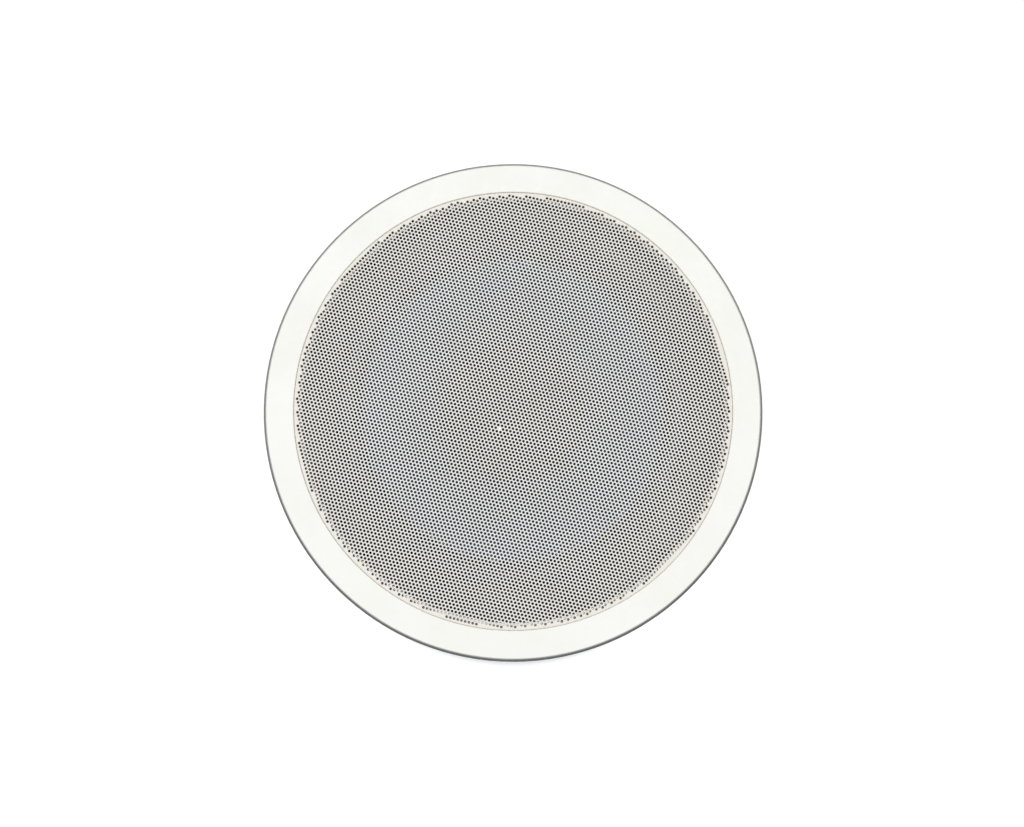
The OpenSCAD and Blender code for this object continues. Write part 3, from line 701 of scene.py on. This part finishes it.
flat_radius = GRILLE_RADIUS - HEM_RADIUS
cell_reach = flat_radius - HOLE_PITCH / math.sqrt(3) - 0.05 * MM
sheet_sizes = {"Thickness": SHEET_THICKNESS, "Underside": SHEET_TOP - SHEET_THICKNESS}
rows_tree = punched_rows()
for number, (first, last) in enumerate(zip(CUT_ROWS, CUT_ROWS[1:]), 1):
    strip = grown(f"grille_sheet_{number}", rows_tree, punched_cell(), "grille_paint", {
        **sheet_sizes, "Pitch": HOLE_PITCH, "Reach": cell_reach, "Row turn": ROW_TURN,
        "First hole": FIRST_HOLE, "Closed hole": CLOSED_HOLE, "From row": first, "To row": last,
    })
    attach(strip, "chassis")
    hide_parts("grille")
outlines = border_outlines(cell_reach, flat_radius)
border = grown("grille_border", filled_border(), outlines, "grille_paint", sheet_sizes)
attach(border, "chassis")
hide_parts("grille")
hem_centre = (flat_radius, SHEET_TOP - HEM_RADIUS)
hem = turned("grille_hem", [(flat_radius, SHEET_TOP - SHEET_THICKNESS)]
             + arc(hem_centre, HEM_RADIUS - SHEET_THICKNESS, 90, 0, 3)[1:]
             + [(GRILLE_RADIUS - SHEET_THICKNESS, HEM_FOOT), (GRILLE_RADIUS, HEM_FOOT)]
             + arc(hem_centre, HEM_RADIUS, 0, 90, 8), "grille_paint", 360)
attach(hem, "chassis")
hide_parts("grille")


# Cone and dust cap

def cone_height(radius):
    """Height of the cone's front at a radius."""
    share = max(0.0, (radius - NECK_RADIUS) / (CONE_RADIUS - NECK_RADIUS))
    return RIM_Z - CONE_DEPTH * (1 - share ** CONE_CURVE)


def spread(first, last, steps):
    """Evenly spaced values from first to last."""
    return [first + (last - first) * i / steps for i in range(steps + 1)]


cone_front = [(r, cone_height(r)) for r in spread(NECK_RADIUS, BEAD_RADIUS - 0.8 * MM, 40)]
cone_front += arc((BEAD_RADIUS, cone_height(BEAD_RADIUS) + 0.1 * MM), 0.75 * MM, 170, 10, 8)
cone_front.append((CONE_RADIUS, RIM_Z))
cone_back = [(r, cone_height(r) - CONE_THICKNESS) for r in spread(CONE_RADIUS, NECK_RADIUS, 40)]
cone = turned("cone_smooth", cone_front + cone_back, "cone_film", 256)
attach(cone, "cone_assembly")
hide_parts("cone")

dome_radius = (CAP_RADIUS ** 2 + CAP_HEIGHT ** 2) / (2 * CAP_HEIGHT)
dome_half = math.degrees(math.asin(CAP_RADIUS / dome_radius))
dome_centre = (0, cone_height(CAP_RADIUS) + 0.1 * MM + CAP_HEIGHT - dome_radius)
glue_bead = arc((CAP_RADIUS - 0.3 * MM, cone_height(CAP_RADIUS) + 0.5 * MM), 0.9 * MM, -20, 110, 6)
cap = turned("dust_cap_domed", glue_bead + arc(dome_centre, dome_radius, 90 - dome_half + 1, 90, 22)
             + arc(dome_centre, dome_radius - CAP_THICKNESS, 90, 90 - dome_half + 0.4, 16), "cap_paper", 192)
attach(cap, "cone_assembly")
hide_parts("dust_cap")


# Surround and spider, in sectors

def bending_ring(name, node, section, finish, steps):
    """Sectors of a turned section that spans from the cone at its inner radius to the chassis at its outer."""
    width = 2 * math.pi / SECTORS
    for number in range(SECTORS):
        middle = number * width
        start, end = middle - width / 2, middle + width / 2
        sector = turned(f"{name}_{number + 1}", section, finish, steps, start, end)
        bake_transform(sector)
        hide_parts(node)


roll_base = LAND_Z + 0.05 * MM
roll_middle = (ROLL_CENTRE, roll_base)
surround_section = (
    [(82.3 * MM, RIM_Z + 0.1 * MM), (82.4 * MM, RIM_Z + 0.6 * MM), (82.9 * MM, roll_base + 0.1 * MM),
     (83.3 * MM, roll_base + 0.5 * MM)]
    + arc(roll_middle, ROLL_RADIUS, 172, 8, 22)
    + [(95.1 * MM, roll_base + 0.75 * MM), (97.5 * MM, roll_base + 0.7 * MM),
       (97.5 * MM, roll_base - 0.05 * MM), (94.2 * MM, roll_base - 0.05 * MM)]
    + arc(roll_middle, ROLL_RADIUS - SURROUND_THICKNESS, 0, 180, 18)
    + [(82.9 * MM, RIM_Z + 0.1 * MM)]
)
roll_foot = roll_base + 0.9 * MM
surround_section = [(r, z if z <= roll_foot else roll_base + (z - roll_base) * ROLL_HEIGHT / ROLL_RADIUS)
                    for r, z in surround_section]
bending_ring("surround_part", "surround", surround_section, "surround_rubber", 12)

half_thick = SPIDER_THICKNESS / 2
half_waves = 9 * math.pi / (SPIDER_OUTER - SPIDER_INNER)
waves = [(r, SHELF_Z + half_thick + SPIDER_WAVE * math.sin(half_waves * (r - SPIDER_INNER)))
         for r in spread(SPIDER_INNER, SPIDER_OUTER, 54)]
spider_section = (
    [(19.32 * MM, -41 * MM), (19.32 * MM, SHELF_Z), (21.25 * MM, SHELF_Z)]
    + [(r, z - half_thick) for r, z in waves]
    + [(55.4 * MM, SHELF_Z), (55.4 * MM, SHELF_Z + SPIDER_THICKNESS)]
    + [(r, z + half_thick) for r, z in reversed(waves)]
    + [(20.95 * MM, SHELF_Z + SPIDER_THICKNESS), (20.3 * MM, -42.2 * MM), (19.95 * MM, -41 * MM)]
)
bending_ring("spider_part", "spider", spider_section, "spider_cloth", 5)


# Foam strips and gasket

def foam_section(inner, outer, low, high, soft):
    """Section of a strip with rounded upper corners and a slight crown."""
    middle = (inner + outer) / 2
    return (
        [(inner, low), (outer, low)]
        + arc((outer - soft, high - soft), soft, 0, 80, 5)
        + [(middle, high + FOAM_CROWN)]
        + arc((inner + soft, high - soft), soft, 100, 180, 5)
    )


def hollow_ends(mesh, begin, end, clear):
    """Draws a strip's ends back round the clamp screws, which are clear metres from it."""
    for v in mesh.vertices:
        r = math.hypot(v.co.x, v.co.y)
        turn = (math.atan2(v.co.y, v.co.x) - begin) % (2 * math.pi)
        share = turn / (end - begin) if turn < math.pi else 0.0
        bay = (r * r + CLAMP_RING ** 2 - clear ** 2) / (2 * r * CLAMP_RING)
        shy = math.acos(min(1.0, bay)) + 0.002
        a = begin + shy + share * (end - begin - 2 * shy)
        v.co.x, v.co.y = r * math.cos(a), r * math.sin(a)


for number in range(4):
    begin = math.radians(45 + 90 * number)
    section = foam_section(FOAM_INNER, FOAM_OUTER, FOAM_LOW, FOAM_HIGH, 0.7 * MM)
    strip = turned(f"foam_strip_{number + 1}", section, "black_foam", 72, begin, begin + math.pi / 2)
    hollow_ends(strip.data, begin, begin + math.pi / 2, CLAMP_SCREW_ROOM)
    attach(strip, "chassis")
    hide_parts("baffle_foam")


def bayed_ring(name, inner, outer, low, high, finish):
    """Ring whose outer edge draws back round each of the eight basket screws."""
    steps, soft, rings = 480, 0.8 * MM, []
    for i in range(steps):
        a = 2 * math.pi * i / steps
        off = BASKET_SCREW_RING * math.sin(a % (math.pi / 4) - math.pi / 8)
        edge = outer
        if abs(off) <= BASKET_SCREW_ROOM:
            edge = BASKET_SCREW_RING - math.sqrt(BASKET_SCREW_ROOM ** 2 - off ** 2)
        section = [(inner, low), (edge, low)] + arc((edge - soft, high - soft), soft, 0, 90, 4)
        section += arc((inner + soft, high - soft), soft, 90, 180, 4)
        rings.append(swung(section, a))
    return skinned(name, rings, finish, 40)


gasket = bayed_ring("gasket_ring", GASKET_INNER, GASKET_OUTER, GASKET_LOW, GASKET_HIGH, "black_foam")
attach(gasket, "chassis")
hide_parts("basket_gasket")


# Leads, springs and threads

def route_mesh(points, side):
    """Chain of edges on a smooth curve through points given in mm, with x mirrored to the side's sign."""
    path, last = [], len(points) - 1
    for i in range(last):
        a, b, c, d = (Vector(points[max(0, min(last, i + k))]) for k in (-1, 0, 1, 2))
        for t in spread(0, 1, 6)[:6]:
            bend = (2 * a - 5 * b + 4 * c - d) * t ** 2 + (3 * b - a - 3 * c + d) * t ** 3
            path.append(0.5 * (2 * b + (c - a) * t + bend))
    path.append(Vector(points[last]))
    mesh = bpy.data.meshes.new("route")
    places = [(side * x * MM, y * MM, z * MM) for x, y, z in path]
    mesh.from_pydata(places, [(i, i + 1) for i in range(len(path) - 1)], [])
    return mesh


def twisted_strands():
    """Tree that lays strands round a path in a steady twist."""
    tree, given = node_tree("twisted_strands", {
        "Strands": "Int", "Strand radius": "Float", "Lay radius": "Float", "Turns": "Float", "Steps": "Int",
        "Material": "Material",
    })
    path = add(tree, "GeometryNodeMeshToCurve", {"Mesh": given["Geometry"]})
    even = add(tree, "GeometryNodeResampleCurve", {"Curve": path.outputs[0], "Count": given["Steps"]})
    copies = add(tree, "GeometryNodeDuplicateElements", {
        "Geometry": even.outputs[0], "Amount": given["Strands"],
    }, domain="SPLINE")
    along = add(tree, "GeometryNodeSplineParameter")
    share = add(tree, "ShaderNodeMath", {0: copies.outputs["Duplicate Index"], 1: given["Strands"]},
                operation="DIVIDE")
    wound = add(tree, "ShaderNodeMath", {0: along.outputs["Factor"], 1: given["Turns"], 2: share.outputs[0]},
                operation="MULTIPLY_ADD")
    angle = add(tree, "ShaderNodeMath", {0: wound.outputs[0], 1: 2 * math.pi}, operation="MULTIPLY")
    normal = add(tree, "GeometryNodeInputNormal")
    tangent = add(tree, "GeometryNodeInputTangent")
    outward = add(tree, "ShaderNodeVectorRotate", {
        "Vector": normal.outputs["Normal"], "Axis": tangent.outputs[0], "Angle": angle.outputs[0],
    }, rotation_type="AXIS_ANGLE")
    offset = add(tree, "ShaderNodeVectorMath", {0: outward.outputs[0], "Scale": given["Lay radius"]},
                 operation="SCALE")
    laid = add(tree, "GeometryNodeSetPosition", {"Geometry": copies.outputs[0], "Offset": offset.outputs[0]})
    profile = add(tree, "GeometryNodeCurvePrimitiveCircle", {
        "Resolution": 10, "Radius": given["Strand radius"],
    })
    tube = add(tree, "GeometryNodeCurveToMesh", {
        "Curve": laid.outputs[0], "Profile Curve": profile.outputs[0], "Fill Caps": True,
    })
    finished(tree, [tube.outputs[0]], given)
    return tree


def wound_wire():
    """Tree that winds a wire into a helix that climbs along Z, and keeps what it is wound round."""
    tree, given = node_tree("wound_wire", {
        "Wire radius": "Float", "Wire sides": "Int", "Coil radius": "Float", "Turns": "Float",
        "Height": "Float", "Foot": "Vector", "Material": "Material",
    })
    helix = add(tree, "GeometryNodeCurveSpiral", {
        "Resolution": 20, "Rotations": given["Turns"], "Start Radius": given["Coil radius"],
        "End Radius": given["Coil radius"], "Height": given["Height"],
    })
    profile = add(tree, "GeometryNodeCurvePrimitiveCircle", {
        "Resolution": given["Wire sides"], "Radius": given["Wire radius"],
    })
    tube = add(tree, "GeometryNodeCurveToMesh", {
        "Curve": helix.outputs[0], "Profile Curve": profile.outputs[0], "Fill Caps": True,
    })
    set_down = add(tree, "GeometryNodeTransform", {"Geometry": tube.outputs[0], "Translation": given["Foot"]})
    finished(tree, [set_down.outputs[0], given["Geometry"]], given)
    return tree


strands_tree = twisted_strands()
wound_tree = wound_wire()
for side, place, tint in ((-1, "left", "black"), (1, "right", "red")):
    route = route_mesh(TINSEL_ROUTE, side)
    lead = grown(f"tinsel_strands_{place}", strands_tree, route, "copper_braid", {
        "Strands": 5, "Strand radius": 0.2 * MM, "Lay radius": 0.37 * MM, "Turns": 9.0, "Steps": 150,
    })
    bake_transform(lead)
    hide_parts(f"tinsel_lead_{place}")

    route = route_mesh(WIRE_ROUTE, side)
    wire = grown(f"insulated_wire_{tint}", strands_tree, route, f"{tint}_insulation", {
        "Strands": 1, "Strand radius": 0.9 * MM, "Lay radius": 0.0, "Turns": 0.0, "Steps": 48,
    })
    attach(wire, "chassis")
    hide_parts(f"wire_{tint}")

    foot = Vector((side * BUTTON_PLACE[0], BUTTON_PLACE[1], SPRING_FOOT)) * MM
    spring = grown(f"wound_spring_{tint}", wound_tree, bpy.data.meshes.new("spring"), "spring_steel", {
        "Wire radius": 0.25 * MM, "Wire sides": 8, "Coil radius": 2.4 * MM, "Turns": 5.0,
        "Height": SPRING_HEIGHT * MM, "Foot": foot,
    })
    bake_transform(spring)
    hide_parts(f"button_spring_{tint}")


def screw_core(number, centre):
    """Head of a clamp screw as the CAD node has it, on a bare core for the thread."""
    work = bmesh.new()
    work.from_mesh(frame["nodes"][f"clamp_screw_{number}"].data)
    bmesh.ops.remove_doubles(work, verts=work.verts, dist=1e-6)
    shank = [v for v in work.verts if v.co.z < SCREW_SEAT - 1e-5]
    bmesh.ops.delete(work, geom=shank, context="VERTS")
    bmesh.ops.holes_fill(work, edges=[e for e in work.edges if e.is_boundary])
    point = (SCREW_TIP, SCREW_TIP + 1.2 * MM, 1.2 * MM)
    shaft = (SCREW_TIP + 1.2 * MM, SCREW_SEAT + 0.5 * MM, SCREW_CORE)
    for low, high, low_radius in (point, shaft):
        core = bmesh.ops.create_cone(work, cap_ends=True, segments=24, radius1=low_radius, radius2=SCREW_CORE,
                                     depth=high - low)
        bmesh.ops.translate(work, verts=core["verts"], vec=centre + Vector((0, 0, (low + high) / 2)))
    bmesh.ops.recalc_face_normals(work, faces=work.faces)
    mesh = bpy.data.meshes.new("screw_core")
    work.to_mesh(mesh)
    work.free()
    mesh.shade_smooth()
    mesh.set_sharp_from_angle(angle=math.radians(30))
    return mesh


for number in range(1, 5):
    bearing = math.radians(45 + 90 * (number - 1))
    centre = Vector((math.cos(bearing), math.sin(bearing), 0)) * CLAMP_RING
    screw = grown(f"threaded_screw_{number}", wound_tree, screw_core(number, centre), "black_screw", {
        "Wire radius": 0.33 * MM, "Wire sides": 4, "Coil radius": 1.67 * MM, "Turns": float(THREAD_TURNS),
        "Height": THREAD_TURNS * THREAD_PITCH, "Foot": centre + Vector((0, 0, SCREW_TIP + 1.0 * MM)),
    })
    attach(screw, f"clamp_screw_{number}")
    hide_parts(f"clamp_screw_{number}")


# Stage, lamps and camera

CAMERA_AIM = Vector((-0.59, -2.77, 4.4)) * MM
CAMERA_DISTANCE = 0.490
CAMERA_ELEVATION = math.radians(86.45)
KEY_TILT = math.radians(12)
SOFTBOXES = {"left_softbox": ((-0.80, -0.42, 0.76), 2.0), "right_softbox": ((0.80, -0.05, 0.90), 0.8)}
SKY_BLUE = (0.72, 0.83, 1.0)
FLOOR_REACH = 6


def lamp(name, kind, place, energy, **settings):
    """Lamp at a place that points at the origin."""
    data = bpy.data.lights.new(name, kind)
    data.energy = energy
    for key, value in settings.items():
        setattr(data, key, value)
    obj = bpy.data.objects.new(name, data)
    bpy.context.scene.collection.objects.link(obj)
    obj.location = place
    obj.rotation_euler = (-Vector(place)).to_track_quat("-Z", "Y").to_euler()


def seen(tree):
    """1 on camera, glossy and transmission rays, and 0 on the rays that light the object."""
    path = add(tree, "ShaderNodeLightPath")
    first = add(tree, "ShaderNodeMath", {0: path.outputs["Is Camera Ray"], 1: path.outputs["Is Glossy Ray"]},
                operation="MAXIMUM")
    return add(tree, "ShaderNodeMath", {0: first.outputs[0], 1: path.outputs["Is Transmission Ray"]},
               operation="MAXIMUM").outputs[0]


def paper_floor(tree):
    """Matt paper: white where it is looked at, and grey where it throws light back.

    The grey keeps the bezel's side dark.
    """
    pale = add(tree, "ShaderNodeMix", {
        0: seen(tree), 6: colour("8A8A8A"), 7: colour("FBFBFB"),
    }, data_type="RGBA")
    matt = add(tree, "ShaderNodeBsdfDiffuse", {"Color": pale.outputs[2]})
    glow = add(tree, "ShaderNodeEmission", {"Color": (1, 1, 1, 1), "Strength": 0.20})
    lit = add(tree, "ShaderNodeAddShader", {0: matt.outputs[0], 1: glow.outputs[0]})
    return add(tree, "ShaderNodeMixShader", {0: seen(tree), 1: matt.outputs[0], 2: lit.outputs[0]})


floor_mesh = bpy.data.meshes.new("floor")
corners = [(x * FLOOR_REACH, y * FLOOR_REACH, cad_low.z) for x, y in ((-1, -1), (1, -1), (1, 1), (-1, 1))]
floor_mesh.from_pydata(corners, [], [(0, 1, 2, 3)])
floor_mesh.materials.append(coated("floor_paper", paper_floor))
floor = bpy.data.objects.new("floor", floor_mesh)
bpy.context.scene.collection.objects.link(floor)

world = bpy.data.worlds.new("studio")
bpy.context.scene.world = world
world.use_nodes = True
air = world.node_tree
air.nodes.clear()
dim = add(air, "ShaderNodeBackground", {"Color": (1, 1, 1, 1), "Strength": 0.25})
bright = add(air, "ShaderNodeBackground", {"Color": (1, 1, 1, 1), "Strength": 1.0})
sky = add(air, "ShaderNodeMixShader", {0: seen(air), 1: dim.outputs[0], 2: bright.outputs[0]})
add(air, "ShaderNodeOutputWorld", {"Surface": sky.outputs[0]})

key_place = (0, 2 * math.sin(KEY_TILT), 2 * math.cos(KEY_TILT))
lamp("key", "SUN", key_place, 2.01, angle=math.radians(5))
for name, (place, watts) in SOFTBOXES.items():
    lamp(name, "AREA", place, watts, shape="DISK", size=0.35, color=SKY_BLUE)

camera_data = bpy.data.cameras.new("camera")
camera_data.lens = 32.5
camera_data.sensor_width = 36
camera_data.clip_start = 0.01
camera_data.clip_end = 50
camera = bpy.data.objects.new("camera", camera_data)
bpy.context.scene.collection.objects.link(camera)
bpy.context.scene.camera = camera
back = Vector((0, -math.cos(CAMERA_ELEVATION), math.sin(CAMERA_ELEVATION)))
camera.location = CAMERA_AIM + back * CAMERA_DISTANCE
camera.rotation_euler = (-back).to_track_quat("-Z", "Y").to_euler()

bpy.context.scene.view_settings.view_transform = "Standard"
